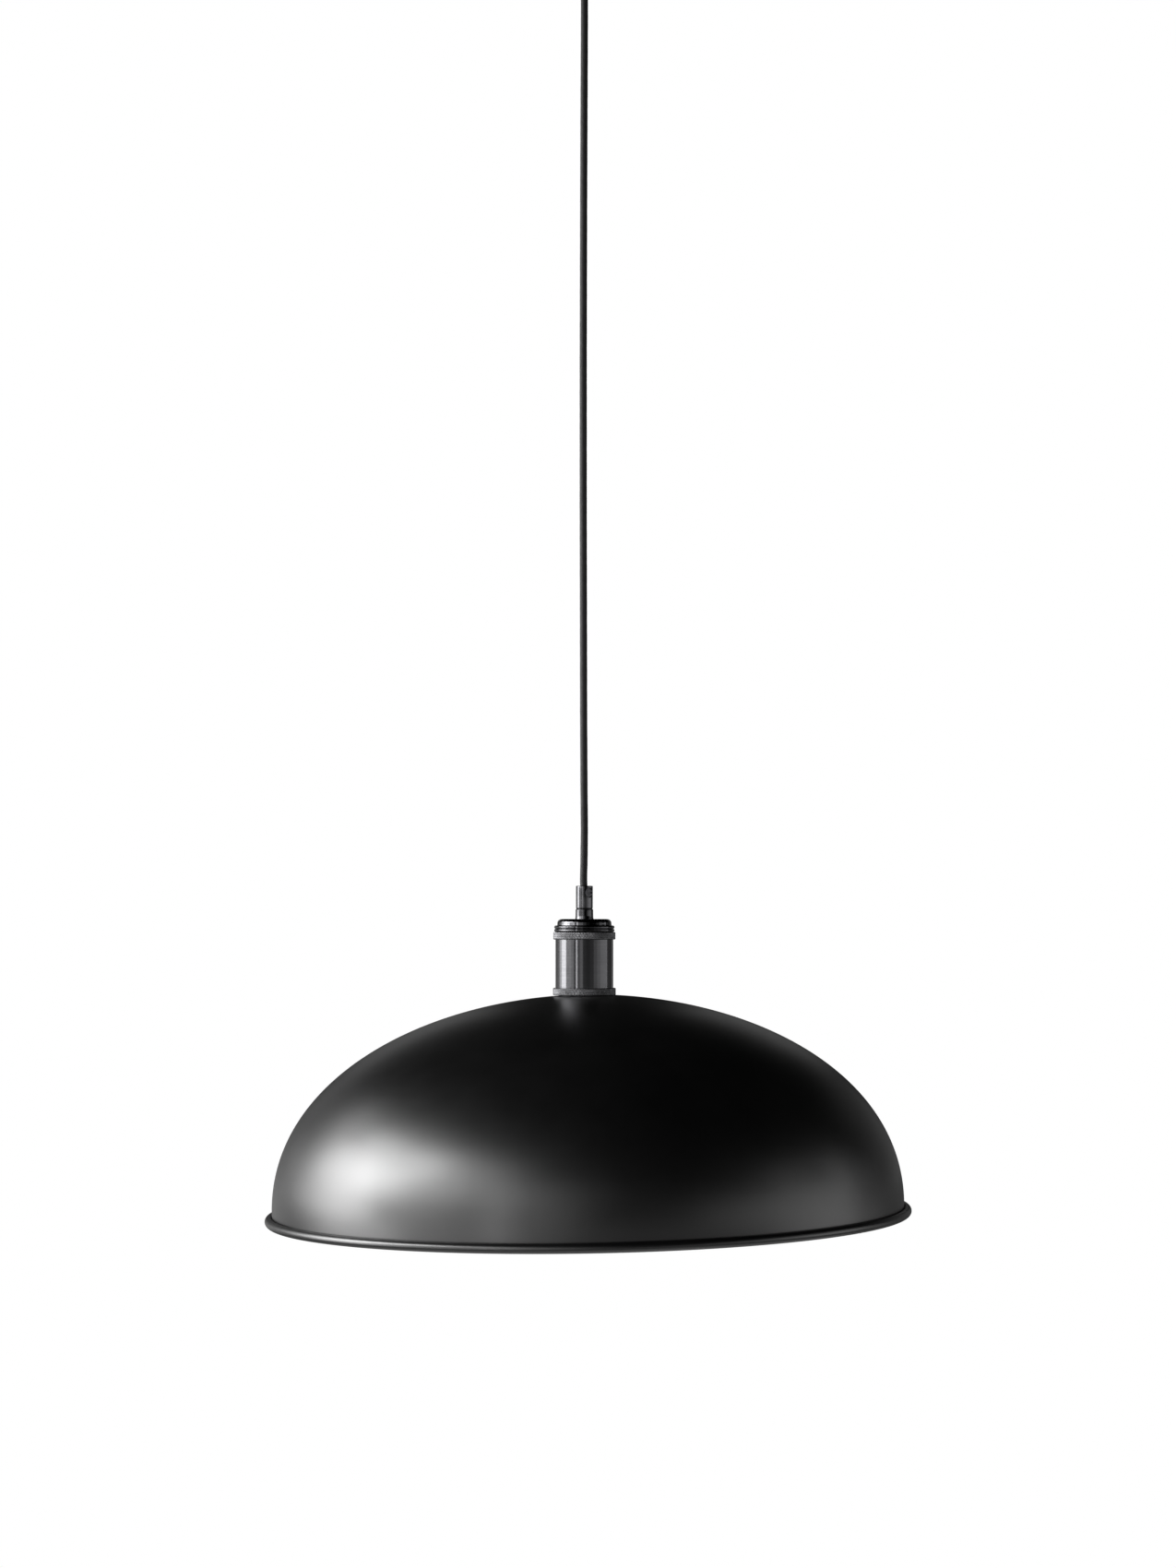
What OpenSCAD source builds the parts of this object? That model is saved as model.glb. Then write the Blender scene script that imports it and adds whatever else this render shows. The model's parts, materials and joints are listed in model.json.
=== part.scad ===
// Pendant ceiling light: one wide spun-metal dome under a knurled metal lampholder,
// hung from a small ceiling canopy by a straight textile-covered cable.
//
// Millimetres. The origin is the centre of the ceiling bracket's upper face, where it
// meets the ceiling. +Z points up into the ceiling, so the whole light is at negative Z.
// +X is to the viewer's right, -Y is towards the viewer.

/* [Shade] */
// outside diameter over the rolled rim
shade_d = 500; // [300:5:650]
// height from the seat under the lampholder to the middle of the rolled rim
shade_h = 168.2; // [100:0.1:240]
// thickness of the spun sheet
shade_wall = 1; // [0.8:0.1:2]
// diameter of the rolled rim
rim_d = 7; // [4:0.5:12]
// roundness of the crown, higher is flatter on top
crown_power = 1.956; // [1.6:0.001:3]
// fullness of the side wall, higher is more upright near the rim
wall_power = 2.226; // [1.6:0.001:3]
// how far the shade hangs out of level on its seat, in degrees
shade_lean = 1; // [0:0.1:2]

/* [Lampholder] */
// diameter of the plain sleeve
sleeve_d = 45; // [40:0.5:60]
// diameter over the upper knurled ring
upper_ring_d = 48.5; // [44:0.1:64]
// diameter over the lower knurled ring
lower_ring_d = 49; // [44:0.1:64]
// height of the lower knurled ring
lower_ring_h = 5.6; // [4:0.1:10]
// level of the lower edge of the upper knurled ring, above the shade's seat
upper_ring_z = 43.4; // [30:0.1:60]
// level of the top of the upper knurled ring
cap_z = 49.2; // [35:0.1:66]
// level of the shoulder between the two steps of the cap
shoulder_z = 54.3; // [40:0.1:72]
// level of the flat top of the cap
holder_h = 59.3; // [45:0.1:80]
// diameter of the beaded lower step of the cap
cap_d = 47; // [40:0.1:60]
// diameter of the upper step of the cap
crown_d = 42.3; // [36:0.1:56]
// grooves round each knurled ring
knurl_count = 60; // [24:2:90]

/* [Cord grip] */
// diameter of the grip
grip_d = 13.1; // [10:0.1:20]
// height of the grip on the lampholder, base collar included
grip_h = 25.9; // [15:0.1:40]
// height of the grip's base collar
collar_h = 7.9; // [4:0.1:12]
// diameter of the clamping screw
clamp_screw_d = 7; // [4:0.5:8]
// direction the clamping screw faces, in degrees to the viewer's right of the front
clamp_turn = 38; // [-180:1:180]

/* [Cable] */
// diameter over the textile braid
cable_d = 5.7; // [5:0.1:8]
// free length of cable between the two grips
cable_drop = 720; // [200:10:2000]

/* [Canopy] */
// diameter of the ceiling cup
canopy_d = 100; // [80:5:140]
// height of the ceiling cup
canopy_h = 45; // [30:1:70]
// thickness of the cup's sheet
canopy_wall = 1; // [0.8:0.1:2]
// height of the grip under the cup
canopy_grip_h = 20; // [15:1:30]
// distance between the two ceiling screw slots
slot_spacing = 60; // [50:1:70]
// width of the ceiling screw slots
slot_w = 5; // [4:0.5:6]
// end-to-end length of the ceiling screw slots
slot_l = 14; // [8:1:20]

/* [Bulb] */
// diameter of the bulb's glass
bulb_d = 60; // [45:1:80]
// level of the bottom of the glass, below the shade's seat
bulb_drop = 90; // [70:1:120]

/* [Hidden] */
$fn = 96;

e = 0.05;
cable_r = cable_d / 2;
mouth_z = -(canopy_h + canopy_grip_h);          // mouth of the canopy's grip
swing_z = mouth_z - 1.5;                        // where the cable bends when the light swings
grip_top = holder_h + grip_h;                   // top of the lampholder's grip, above the seat
seat_z = mouth_z - cable_drop - grip_top;       // the shade's seat under the lower ring
shade_gap = 0.45;                               // room the leaning shade needs under the ring
pitch_bulb = 3.629;                             // E27 thread
pitch_ring = 2.5;                               // shade ring thread
rim_r = rim_d / 2;
dome_r = shade_d / 2 - 4.85;                    // radius the side wall closes in to
hole_r = 20.4;                                  // hole in the crown of the shade
seat_r = 26;                                    // radius of the flat seat on the crown
sleeve_r = sleeve_d / 2;

// ---------- general shapes ----------

// tube with a bore, standing on z
module tube(ro, ri, h) {
    difference() {
        cylinder(r = ro, h = h);
        translate([0, 0, -1]) cylinder(r = ri, h = h + 2);
    }
}

// outline of a threaded wall drawn as ring ridges, crest and root radius outside, bore inside
module ridged(crest, root, bore, h, pitch) {
    n = floor(h / pitch);
    step = h / n;
    rotate_extrude() polygon(concat(
        [[bore, 0]],
        [for (i = [0 : n - 1]) each [[root, i * step], [root, (i + 0.15) * step],
            [crest, (i + 0.45) * step], [crest, (i + 0.55) * step], [root, (i + 0.85) * step]]],
        [[root, h], [bore, h]]));
}

// the same point moved along a smooth curve through a list of points
function bend(p, i, t) =
    let (a = p[max(i - 1, 0)], b = p[i], c = p[i + 1], d = p[min(i + 2, len(p) - 1)])
    0.5 * ((2 * b) + (c - a) * t + (2 * a - 5 * b + 4 * c - d) * t * t
        + (3 * b - a - 3 * c + d) * t * t * t);
function smooth(p, n) = concat(
    [for (i = [0 : len(p) - 2], k = [0 : n - 1]) bend(p, i, k / n)], [p[len(p) - 1]]);
function unit(v) = v / norm(v);
function along(p, i) = unit(p[min(i + 1, len(p) - 1)] - p[max(i - 1, 0)]);

// round wire or cable along a route, a radius for each point
module wire(route, radii, sides) {
    n = len(route);
    frames = [for (i = [0 : n - 1]) let (t = along(route, i),
        u = unit(cross(t, abs(t[2]) > 0.8 ? [0, 1, 0] : [0, 0, 1])), v = cross(t, u)) [u, v]];
    pts = [for (i = [0 : n - 1], k = [0 : sides - 1]) let (a = 360 * k / sides)
        route[i] + radii[i] * (cos(a) * frames[i][0] + sin(a) * frames[i][1])];
    polyhedron(points = pts, faces = concat(
        [[for (k = [0 : sides - 1]) k]],
        [for (i = [0 : n - 2], k = [0 : sides - 1]) let (a = i * sides + k,
            b = i * sides + (k + 1) % sides) each [[a, a + sides, b], [b, a + sides, b + sides]]],
        [[for (k = [sides - 1 : -1 : 0]) (n - 1) * sides + k]]));
}

module lead(points, r = 1) {
    route = smooth(points, 5);
    wire(route, [for (i = route) r], 8);
}

// pan-head screw: head on +X, shank pointing to -X, with a cross recess
module pan_screw(r, l, head_r, head_h) {
    difference() {
        union() {
            rotate([0, -90, 0]) cylinder(r = r, h = l);
            rotate([0, 90, 0]) cylinder(r1 = head_r, r2 = head_r * 0.78, h = head_h);
        }
        translate([head_h / 2 + 0.3, -head_r * 0.55, -0.4]) cube([head_h, head_r * 1.1, 0.8]);
        translate([head_h / 2 + 0.3, -0.4, -head_r * 0.55]) cube([head_h, 0.8, head_r * 1.1]);
    }
}

module hex_nut(across_flats, bore, h) {
    difference() {
        cylinder(r = across_flats / 2 / cos(30), h = h, $fn = 6);
        translate([0, 0, -1]) cylinder(r = bore, h = h + 2);
    }
}

// clamping screw facing outwards from the cable, with a screwdriver slot
module clamp_screw(r, inner, outer) {
    difference() {
        rotate([90, 0, 0]) translate([0, 0, inner]) cylinder(r = r, h = outer - inner);
        translate([-r - 1, -outer - 1, -0.6]) cube([2 * r + 2, 2.2, 1.2]);
    }
}

// ---------- ceiling mount ----------

module at_slots() for (s = [-1, 1]) translate([s * slot_spacing / 2, 0, 0]) children();

module ceiling_bracket() color([0.72, 0.73, 0.75]) difference() {
    union() {
        translate([-44, -12, -2]) cube([88, 24, 2]);
        for (s = [-1, 1]) translate([s * 43 - 1, -10, -15]) cube([2, 20, 14]);
    }
    at_slots() for (k = [-1, 0, 1]) {
        if (k == 0) translate([-(slot_l - slot_w) / 2, -slot_w / 2, -3])
            cube([slot_l - slot_w, slot_w, 4]);
        else translate([k * (slot_l - slot_w) / 2, 0, -3]) cylinder(d = slot_w, h = 4);
    }
    translate([0, 0, -3]) cylinder(r = 5, h = 4);
    for (s = [-1, 1]) translate([s * 40, 0, -9]) rotate([0, s * 90, 0]) cylinder(r = 2.05, h = 6);
    translate([-40, 6, -9]) rotate([0, -90, 0]) cylinder(r = 1.8, h = 6);
}

module cup_outline(r, h, corner) {
    translate([0, -h]) square([r - corner, h]);
    translate([0, -h + corner]) square([r, h - corner]);
    translate([r - corner, -h + corner]) circle(corner);
}

module canopy_cup() color([0.05, 0.05, 0.055]) difference() {
    rotate_extrude() intersection() {
        difference() {
            cup_outline(canopy_d / 2, canopy_h, 6);
            translate([0, 0.01]) cup_outline(canopy_d / 2 - canopy_wall, canopy_h - canopy_wall + 0.01, 5);
        }
        translate([5.1, -canopy_h]) square([canopy_d / 2, canopy_h]);
    }
    for (s = [-1, 1]) translate([s * (canopy_d / 2 - 4), 0, -9]) rotate([0, s * 90, 0]) cylinder(r = 2.2, h = 8);
}

module canopy_screws() color([0.1, 0.1, 0.1]) for (s = [0, 180]) rotate([0, 0, s])
    translate([canopy_d / 2 + e, 0, -9]) pan_screw(2, 10, 3.8, 2.2);

module bracket_earth_screw() color([0.75, 0.62, 0.3])
    translate([-41.3, 6, -9]) pan_screw(1.75, 4, 3, 1.9);

module bracket_earth_tag() color([0.75, 0.62, 0.3]) difference() {
    union() {
        translate([-41.95, 6, -9]) rotate([0, 90, 0]) cylinder(r = 3.5, h = 0.6);
        translate([-41.95, 4.5, -19]) cube([0.6, 3, 10]);
    }
    translate([-43, 6, -9]) rotate([0, 90, 0]) cylinder(r = 1.85, h = 3);
}

block_z = -24;
module at_ways() for (x = [-10, 0, 10]) translate([x, 0, block_z]) children();

module terminal_block() color([0.93, 0.93, 0.9]) difference() {
    union() {
        at_ways() translate([0, 16, 0]) rotate([-90, 0, 0]) cylinder(r = 4.6, h = 16);
        translate([-12, 17, block_z - 2]) cube([24, 14, 4]);
        at_ways() for (y = [20, 28]) translate([0, y, -6.8]) cylinder(r = 2.8, h = 5);
    }
    at_ways() {
        translate([0, 15, 0]) rotate([-90, 0, 0]) cylinder(r = 2.35, h = 18);
        for (y = [20, 28]) translate([0, y, -8]) cylinder(r = 1.75, h = 8);
    }
}

module terminal_sleeves() color([0.8, 0.65, 0.3]) at_ways() difference() {
    translate([0, 17, 0]) rotate([-90, 0, 0]) cylinder(r = 2.3, h = 14);
    translate([0, 16, 0]) rotate([-90, 0, 0]) cylinder(r = 1.5, h = 16);
    for (y = [20, 28]) translate([0, y, -4]) cylinder(r = 1.55, h = 3.2);
}

module terminal_screws() color([0.7, 0.7, 0.72]) at_ways() for (y = [20, 28]) difference() {
    translate([0, y, -6.4]) cylinder(r = 1.5, h = 5.2);
    translate([-2, y - 0.3, -7]) cube([4, 0.6, 1.4]);
}

module canopy_nipple() color([0.75, 0.62, 0.3])
    translate([0, 0, -canopy_h - 8.5]) ridged(5, 4.6, 3.5, 15.5, 1);

module canopy_nut() color([0.75, 0.62, 0.3])
    translate([0, 0, -canopy_h + canopy_wall + e]) hex_nut(14, 5.05, 3);

module canopy_grip() color([0.12, 0.12, 0.13]) translate([0, 0, mouth_z]) difference() {
    rotate_extrude() polygon([[3.4, 0.6], [3.9, 0], [grip_d / 2 - 0.4, 0], [grip_d / 2, 0.4],
        [grip_d / 2, canopy_grip_h - 0.3], [grip_d / 2 - 0.3, canopy_grip_h], [5.05, canopy_grip_h],
        [5.05, 11], [3.4, 11]]);
    rotate([0, 0, clamp_turn]) translate([0, 0, 6]) rotate([90, 0, 0]) cylinder(r = 3.05, h = 9);
}

module canopy_grip_screw() color([0.15, 0.15, 0.15])
    translate([0, 0, mouth_z + 6]) rotate([0, 0, clamp_turn]) clamp_screw(3, cable_r + 0.1, grip_d / 2 - 0.9);

module canopy_cable() color([0.06, 0.06, 0.06]) difference() {
    translate([0, 0, swing_z + 1.6]) cylinder(r = cable_r, h = -30 - swing_z - 1.6);
    translate([0, 0, swing_z]) sphere(r = 3.1);
}

module canopy_lead_live() color([0.35, 0.2, 0.1])
    lead([[-1.3, 0.7, -29.6], [-1.3, 0.7, -28.4], [-2.4, 2, -25], [-6.5, 7, -21], [-10, 13, -23.2], [-10, 18, -24], [-10, 22, -24]]);
module canopy_lead_neutral() color([0.15, 0.25, 0.6])
    lead([[1.3, 0.7, -29.6], [1.3, 0.7, -28.4], [2.4, 2, -25], [6.5, 7, -21], [10, 13, -23.2], [10, 18, -24], [10, 22, -24]]);
module canopy_lead_earth() color([0.4, 0.6, 0.1])
    lead([[0, -1.5, -29.6], [0, -1.5, -28.4], [-1.5, -3.6, -26], [-9, -6, -22], [-24, -3, -22], [-37, 4, -23], [-41.65, 6, -20.2]]);

// ---------- free cable ----------

// the short knuckle of cable that flexes at the mouth of the canopy's grip
module cable_bend() color([0.06, 0.06, 0.06]) translate([0, 0, swing_z]) sphere(r = cable_r);

// the cable's route: distance below the bend, and how far it strays sideways
stray = [[1.6, 0], [30, 0], [180, -0.6], [300, -0.9], [420, -0.9], [520, -0.7], [580, -0.6],
    [640, -0.3], [675, 0], [700, -0.3], [714, -0.7], [718.85, -0.4]];
module cable() color([0.06, 0.06, 0.06]) {
    depth = [for (i = [0 : 50]) 1.6 + (cable_drop - 2.75) * i / 50];
    route = concat([[0, 0, swing_z - 3.1], [0, 0, swing_z - 2.71], [0, 0, swing_z - 2.06]],
        [for (d = depth) [lookup(d, stray), 0, swing_z - d]]);
    n = len(route);
    sides = 12;
    radii = concat([0.2, 1.5, 2.3], [for (d = depth) cable_r]);
    pts = [for (i = [0 : n - 1], k = [0 : sides - 1]) let (a = 360 * k / sides)
        route[i] + radii[i] * [cos(a), sin(a), 0]];
    polyhedron(points = pts, faces = concat(
        [[for (k = [sides - 1 : -1 : 0]) k]],
        [for (i = [0 : n - 2], k = [0 : sides - 1]) let (a = i * sides + k,
            b = i * sides + (k + 1) % sides) each [[a, b, a + sides], [b, b + sides, a + sides]]],
        [[for (k = [0 : sides - 1]) (n - 1) * sides + k]]));
}

// ---------- lampholder, above the seat ----------

module on_seat() translate([0, 0, seat_z]) children();

module holder_cable() color([0.06, 0.06, 0.06]) on_seat()
    translate([0, 0, 50]) cylinder(r = cable_r, h = grip_top - 0.5 - 50);

grip_screw_z = grip_top - 5.4;
module grip_sleeve() color([0.12, 0.12, 0.13]) on_seat() difference() {
    translate([0, 0, holder_h + collar_h]) rotate_extrude() polygon([[5.1, 0], [grip_d / 2 - 0.35, 0],
        [grip_d / 2 - 0.35, 0.35], [grip_d / 2, 0.7], [grip_d / 2, grip_h - collar_h - 0.3],
        [grip_d / 2 - 0.3, grip_h - collar_h], [3.9, grip_h - collar_h], [3.4, grip_h - collar_h - 0.6],
        [3.4, 4], [5.1, 4]]);
    rotate([0, 0, clamp_turn]) translate([0, 0, grip_screw_z]) rotate([90, 0, 0])
        cylinder(r = clamp_screw_d / 2 + 0.05, h = 9);
}

module grip_collar() color([0.14, 0.14, 0.15]) on_seat() translate([0, 0, holder_h]) rotate_extrude()
    polygon([[5.1, 0], [grip_d / 2 + 0.6, 0], [grip_d / 2 + 0.45, 0.8], [grip_d / 2 + 0.3, 2.6],
        [grip_d / 2 + 0.2, collar_h - 0.3], [grip_d / 2 - 0.1, collar_h], [5.1, collar_h]]);

module grip_screw() color([0.1, 0.1, 0.1]) on_seat() translate([0, 0, grip_screw_z])
    rotate([0, 0, clamp_turn]) clamp_screw(clamp_screw_d / 2, cable_r + 0.1, grip_d / 2 - 1);

module holder_nipple() color([0.75, 0.62, 0.3]) on_seat()
    translate([0, 0, holder_h - 6.3]) ridged(5, 4.6, 3.5, 18, 1);

module lock_washer() color([0.7, 0.7, 0.72]) on_seat() translate([0, 0, holder_h - 1.9]) difference() {
    cylinder(r = 8.4, h = 0.65);
    translate([0, 0, -1]) cylinder(r = 5.1, h = 3);
    for (a = [0 : 30 : 330]) rotate([0, 0, a]) translate([6.9, -0.5, -1]) cube([3, 1, 3]);
}

module holder_earth_tag() color([0.8, 0.65, 0.3]) on_seat() translate([0, 0, holder_h - 2.55]) difference() {
    union() {
        cylinder(r = 7.8, h = 0.6);
        translate([0, -1.6, 0]) cube([12, 3.2, 0.6]);
        translate([11.4, -1.6, -4.5]) cube([0.6, 3.2, 5.1]);
    }
    translate([0, 0, -1]) cylinder(r = 5.1, h = 3);
}

module holder_nut() color([0.75, 0.62, 0.3]) on_seat()
    translate([0, 0, holder_h - 5.6]) hex_nut(14, 5.05, 3);

// spun cap: a plain upper step over a step with two small beads
module socket_cap() color([0.13, 0.13, 0.14]) on_seat() rotate_extrude() {
    c = crown_d / 2;
    b = cap_d / 2;
    difference() {
        union() {
            translate([5.1, shoulder_z - 0.6]) square([c - 3 - 5.1, holder_h - shoulder_z + 0.6]);
            translate([c - 3.2, shoulder_z - 0.6]) square([3.2, holder_h - 3 - shoulder_z + 0.6]);
            translate([c - 3, holder_h - 3]) circle(3);
            translate([10, cap_z]) square([b - 0.7 - 10, shoulder_z - cap_z - 0.5]);
            translate([b - 1.25, shoulder_z - 1.3]) circle(1.25);
            translate([b - 1.25, cap_z + 1.3]) circle(1.25);
            translate([20.4, upper_ring_z + 3.4]) square([1.3, cap_z - upper_ring_z - 3]);
        }
        translate([-1, shoulder_z - 2]) square([c - 3 + 1, holder_h - 1.2 - shoulder_z + 2]);
        translate([-1, shoulder_z - 2]) square([c - 1.2 + 1, holder_h - 3 - shoulder_z + 2]);
        translate([c - 3, holder_h - 3]) circle(1.8);
        translate([-1, upper_ring_z]) square([20.4 + 1, shoulder_z - 1.7 - upper_ring_z]);
    }
}

// plain ring with turned edges, square-knurled by upright and level grooves
module knurled_ring(d, h, rows) {
    r = d / 2;
    difference() {
        rotate_extrude() difference() {
            polygon([[0, 0], [r - 0.6, 0], [r, 0.5], [r, h - 0.5], [r - 0.6, h], [0, h]]);
            for (k = [1 : rows - 1]) translate([r, h * k / rows]) rotate(45) square(0.35, center = true);
        }
        for (k = [0 : knurl_count - 1]) rotate([0, 0, 360 * k / knurl_count])
            translate([r, 0, -1]) rotate([0, 0, 45]) translate([-0.35, -0.35, 0]) cube([0.7, 0.7, h + 2]);
    }
}

module upper_ring() color([0.16, 0.16, 0.17]) on_seat() translate([0, 0, upper_ring_z]) difference() {
    knurled_ring(upper_ring_d, cap_z - upper_ring_z - 0.02, 3);
    translate([0, 0, -1]) cylinder(r = sleeve_r + 0.05, h = 4.35);
    translate([0, 0, 2]) cylinder(r = 21.75, h = 10);
}

module socket_sleeve() color([0.18, 0.18, 0.19]) on_seat()
    translate([0, 0, lower_ring_h - 1.9]) tube(sleeve_r, sleeve_r - 1.2, upper_ring_z + 3.2 - lower_ring_h + 1.9);

module lower_ring() color([0.16, 0.16, 0.17]) on_seat() difference() {
    knurled_ring(lower_ring_d, lower_ring_h, 3);
    translate([0, 0, -1]) cylinder(r = 20, h = 10);
    translate([0, 0, lower_ring_h - 2]) cylinder(r = sleeve_r + 0.05, h = 5);
}

module threaded_skirt() color([0.06, 0.06, 0.06]) on_seat() {
    translate([0, 0, -16]) ridged(19.75, 19, 16.2, lower_ring_h - 1.9 + 16, pitch_ring);
    translate([0, 0, lower_ring_h - 1.9]) difference() {
        cylinder(r = sleeve_r - 1.25, h = 34.3);
        translate([0, 0, 3]) cylinder(r = 17.5, h = 40);
        translate([0, 0, -1]) cylinder(r = 16.2, h = 10);
    }
}

module contact_base() color([0.92, 0.9, 0.86]) on_seat() difference() {
    translate([0, 0, 22]) cylinder(r = 17.4, h = 12);
    translate([-6, 0, 20]) cylinder(r = 1.3, h = 20);
    translate([10.5, 0, 20]) cylinder(r = 1.3, h = 20);
    for (a = [90, 270]) rotate([0, 0, a]) translate([12.5, 0, 20]) cylinder(r = 2, h = 20);
}

// wavy E27 screw shell with a flange under the contact base
shell_n = 40;
function shell_r(i) = 13.45 + 0.3 * (1 - cos(360 * i * 24.4 / shell_n / pitch_bulb));
module thread_shell() color([0.8, 0.65, 0.3]) on_seat() {
    translate([0, 0, -3]) rotate_extrude() polygon(concat(
        [for (i = [0 : shell_n]) [shell_r(i), 24.4 * i / shell_n]],
        [[9, 24.4], [9, 24.95], [shell_r(shell_n) + 0.5, 24.95]],
        [for (i = [shell_n : -1 : 0]) [shell_r(i) + 0.5, 24.4 * i / shell_n]]));
    translate([10.5, 0, 21.9]) cylinder(r = 1.2, h = 12.1);
}

module centre_contact() color([0.8, 0.65, 0.3]) on_seat() {
    translate([-6, 0, 20.5]) cylinder(r = 1.2, h = 13.5);
    translate([-7.6, -2.5, 20.1]) cube([10.6, 5, 0.6]);
}

module at_terminals() for (x = [-7.5, 9.5]) translate([x, 0, 34.02]) children();

module holder_terminals() color([0.8, 0.65, 0.3]) on_seat() at_terminals() difference() {
    translate([-3, -3.5, 0]) cube([6, 7, 6.5]);
    translate([0, 0, 2.6]) rotate([90, 0, 0]) cylinder(r = 1.35, h = 12, center = true);
    translate([0, 0, 4]) cylinder(r = 1.55, h = 4);
}

module holder_terminal_screws() color([0.7, 0.7, 0.72]) on_seat() at_terminals() difference() {
    union() {
        translate([0, 0, 4]) cylinder(r = 1.5, h = 2.5 + e);
        translate([0, 0, 6.5 + e]) cylinder(r = 2.5, h = 1.5);
    }
    translate([-3, -0.35, 7.3]) cube([6, 0.7, 2]);
}

module holder_lead_live() color([0.35, 0.2, 0.1]) on_seat()
    lead([[-1.3, 0.7, 49.6], [-1.3, 0.7, 48.6], [-2, 3, 46.5], [-5.4, 9, 42], [-7.5, 10.5, 38], [-7.5, 7, 36.6], [-7.5, 1, 36.62]]);
module holder_lead_neutral() color([0.15, 0.25, 0.6]) on_seat()
    lead([[1.3, 0.7, 49.6], [1.3, 0.7, 48.6], [2, 3, 46.5], [7, 9, 42], [9.5, 10.5, 38], [9.5, 7, 36.6], [9.5, 1, 36.62]]);
module holder_lead_earth() color([0.4, 0.6, 0.1]) on_seat()
    lead([[0, -1.5, 49.6], [0, -1.5, 48.6], [1, -3.6, 46.8], [4.5, -4.8, 45.4], [9, -3.4, 46.5], [11.6, -1, 49], [11.7, 0, holder_h - 8.1]]);

// ---------- shade ----------

// outer wall of the dome: t runs from the pole (0) to the middle of the rim (1)
function dome_out(t) = dome_r * pow(1 - pow(1 - t, wall_power), 1 / crown_power) - 0.8 * pow(t, 8);
flat_t = 1 - pow(1 - pow(seat_r / dome_r, crown_power), 1 / wall_power);
dome_h = shade_h / (1 - flat_t);
function dome_pt(t) = [dome_out(t), -dome_h * (t - flat_t)];
function dome_in(t) = let (d = unit(dome_pt(min(t + 0.002, 1)) - dome_pt(t - 0.002)))
    dome_pt(t) + shade_wall * [d[1], -d[0]];
dome_n = 44;
dome_ts = [for (i = [1 : dome_n]) flat_t + (1 - flat_t) * pow(i / dome_n, 1.6)];

module shade_outline() {
    inner_end = dome_pt(1) - [shade_wall, 0];
    polygon(concat([[hole_r, 0], [seat_r, 0]], [for (t = dome_ts) dome_pt(t)],
        [dome_pt(1) - [0.1, 1], inner_end - [0, 1], inner_end],
        [for (i = [dome_n - 2 : -1 : 0]) dome_in(dome_ts[i])],
        [[seat_r - 0.5, -shade_wall], [hole_r, -shade_wall]]));
    // rolled rim, curled outwards and left just open where it comes back to the wall
    translate([shade_d / 2 - rim_r, -shade_h]) difference() {
        circle(rim_r);
        circle(rim_r - shade_wall);
        polygon([[0, 0], [-3 * rim_r, 0], [-3 * rim_r, 3 * rim_r * tan(60)], [-3 * rim_r * 0.5, 3 * rim_r * sin(60)]]);
    }
}

module shade() color([0.03, 0.03, 0.032])
    translate([0, 0, seat_z - shade_gap]) rotate([0, -shade_lean, 0]) rotate_extrude() shade_outline();

module retaining_ring() color([0.05, 0.05, 0.05]) on_seat() translate([0, 0, -10.3]) difference() {
    rotate_extrude() polygon([[20, 0.5], [20.5, 0], [26.5, 0], [27.5, 1], [27.5, 8], [20, 8]]);
    for (a = [0 : 20 : 340]) rotate([0, 0, a]) translate([28.6, 0, -1]) cylinder(r = 2.2, h = 7);
}

// ---------- bulb ----------

bulb_r = bulb_d / 2;
function glass_r(z) = let (u = (-z - 8) / (bulb_drop - bulb_r - 8)) 13 + (bulb_r - 13) * (3 * u * u - 2 * u * u * u);
// side of the glass, s inside its outer face: neck, swelling shoulder, round end
function glass_side(s) = let (c = bulb_drop - bulb_r) concat([[12.3 - s, -3], [12.3 - s, -7.2]],
    [for (i = [0 : 20]) let (z = -8 - (c - 8) * i / 20) [glass_r(z) - s, z]],
    [for (i = [1 : 17]) [(bulb_r - s) * cos(5 * i), -c - (bulb_r - s) * sin(5 * i)]],
    [[0, -c - bulb_r + s]]);

module bulb_glass() color([0.95, 0.96, 0.97, 0.4]) on_seat() rotate_extrude() {
    inner = glass_side(0.8);
    polygon(concat(glass_side(0), [for (i = [len(inner) - 1 : -1 : 0]) inner[i]]));
}

cap_n = 30;
function cap_r(i) = 12.6 + 0.3 * (1 - cos(360 * i * 17 / cap_n / pitch_bulb));
module bulb_cap() color([0.78, 0.78, 0.8]) on_seat() rotate_extrude() polygon(concat(
    [[12.75, -6.9], [13.1, -6.9], [13.1, -2.4]],
    [for (i = [0 : cap_n]) [cap_r(i), -2 + 17 * i / cap_n]],
    [[12, 15.6], [10.4, 17.2], [9.2, 17.2], [9.2, 16.85], [10.2, 16.85], [11.7, 15.3]],
    [for (i = [cap_n : -1 : 0]) [cap_r(i) - 0.4, -2 + 17 * i / cap_n]],
    [[12.75, -2.6]]));

module bulb_insulator() color([0.05, 0.05, 0.07]) on_seat() rotate_extrude()
    polygon([[0, 16.2], [9.1, 16.2], [9.1, 17.3], [5, 19.2], [0, 19.2]]);

module bulb_tip() color([0.75, 0.75, 0.77]) on_seat() translate([0, 0, 19.22]) cylinder(r1 = 4.6, r2 = 3.4, h = 0.8);

module bulb_stem() color([0.9, 0.92, 0.93, 0.5]) on_seat() rotate_extrude()
    polygon([[0, -3], [11.2, -3], [11.2, -3.8], [6, -7], [3.2, -14], [2.6, -36], [1.6, -38], [0, -38.4]]);

arc_r = 14;
module bulb_support_wires() color([0.6, 0.6, 0.6]) on_seat() for (s = [-1, 1]) {
    lead([[s * 1, 0, -38.75], [s * 1, 0, -40], [s * 2.2, 0, -42], [s * 7, 0, -49], [s * arc_r, 0, -57.4]], 0.35);
}

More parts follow.
